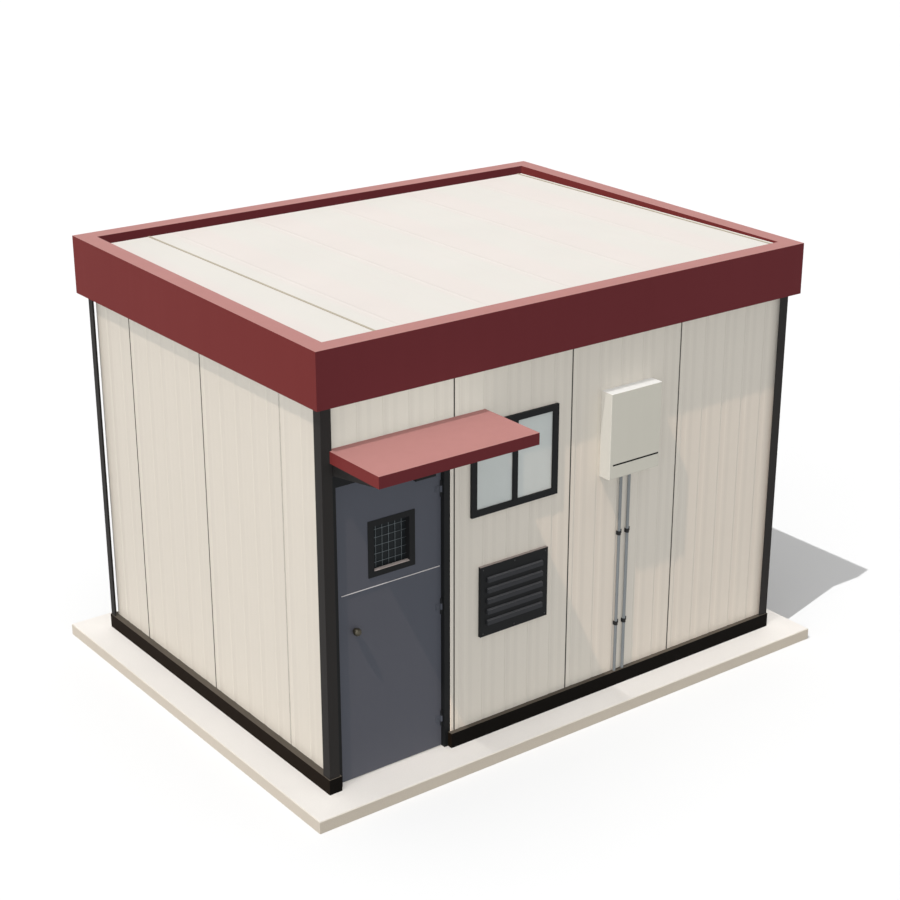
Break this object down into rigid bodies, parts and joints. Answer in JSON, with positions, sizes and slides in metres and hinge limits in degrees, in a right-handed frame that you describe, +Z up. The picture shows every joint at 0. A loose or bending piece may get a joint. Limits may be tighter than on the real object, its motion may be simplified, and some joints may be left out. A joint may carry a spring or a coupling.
{
  "type": "prefab hut",
  "caption": "Flat-roofed panel hut on a concrete plinth, with a hinged steel door, canopy, sliding-style window, louvred vent and a wall-mounted meter box.",
  "frame": {"origin": "centre of the plinth's underside, on the ground", "axes": "+X along the front wall to the right, +Y from the front to the back, +Z up"},
  "size_m": [4.102, 3.453, 2.903],
  "materials": {
    "slab_concrete": "matte",
    "rail_steel": "satin",
    "post_steel": "satin",
    "panel_cream": "satin",
    "fascia_red": "satin",
    "roof_white": "satin",
    "frame_dark": "satin",
    "door_grey": "satin",
    "trim_white": "satin",
    "wire_steel": "satin",
    "clear_glass": "gloss",
    "knob_metal": "satin",
    "vent_grey": "satin",
    "box_grey": "satin",
    "conduit_grey": "satin",
    "clip_dark": "matte"
  },
  "bodies": {
    "hut": {"back_wall_panels": "panel_cream", "base_rail_back": "rail_steel", "base_rail_front": "rail_steel", "base_rail_left": "rail_steel", "base_rail_right": "rail_steel", "base_slab": "slab_concrete", "canopy_brackets": "post_steel", "canopy_soffit": "fascia_red", "canopy_tray": "fascia_red", "conduit_clips": "clip_dark", "conduits": "conduit_grey", "corner_post_back_left": "post_steel", "corner_post_back_right": "post_steel", "corner_post_front_left": "post_steel", "corner_post_front_right": "post_steel", "door_head": "frame_dark", "door_hinge_knuckles": "frame_dark", "door_jambs": "frame_dark", "fascia_back": "fascia_red", "fascia_front": "fascia_red", "fascia_left": "fascia_red", "fascia_right": "fascia_red", "front_corner_strip": "panel_cream", "front_panel_middle": "panel_cream", "front_panel_over_door": "panel_cream", "front_panel_right": "panel_cream", "front_panel_window": "panel_cream", "front_strip_beside_door": "panel_cream", "left_wall_panels": "panel_cream", "meter_box": "box_grey", "right_wall_panels": "panel_cream", "roof_panel_left": "roof_white", "roof_panel_main": "roof_white", "roof_ring_beam": "rail_steel", "vent_hoods": "vent_grey", "vent_plate": "frame_dark", "window_frame": "frame_dark", "window_panes": "clear_glass"},
    "door": {"door_leaf": "door_grey", "door_window_frame": "frame_dark", "door_window_sill": "trim_white", "door_window_mesh": "wire_steel", "door_window_glass": "clear_glass", "door_trim_strip": "trim_white", "door_knobs": "knob_metal", "door_closer": "frame_dark", "door_hinge_leaves": "frame_dark"}
  },
  "joints": [
    {"name": "door_hinge", "type": "hinge", "parent": "hut", "child": "door", "pos_m": [-0.978, -1.334, 1.044], "axis": [0, 0, 1], "range_deg": [0, 90]}
  ]
}
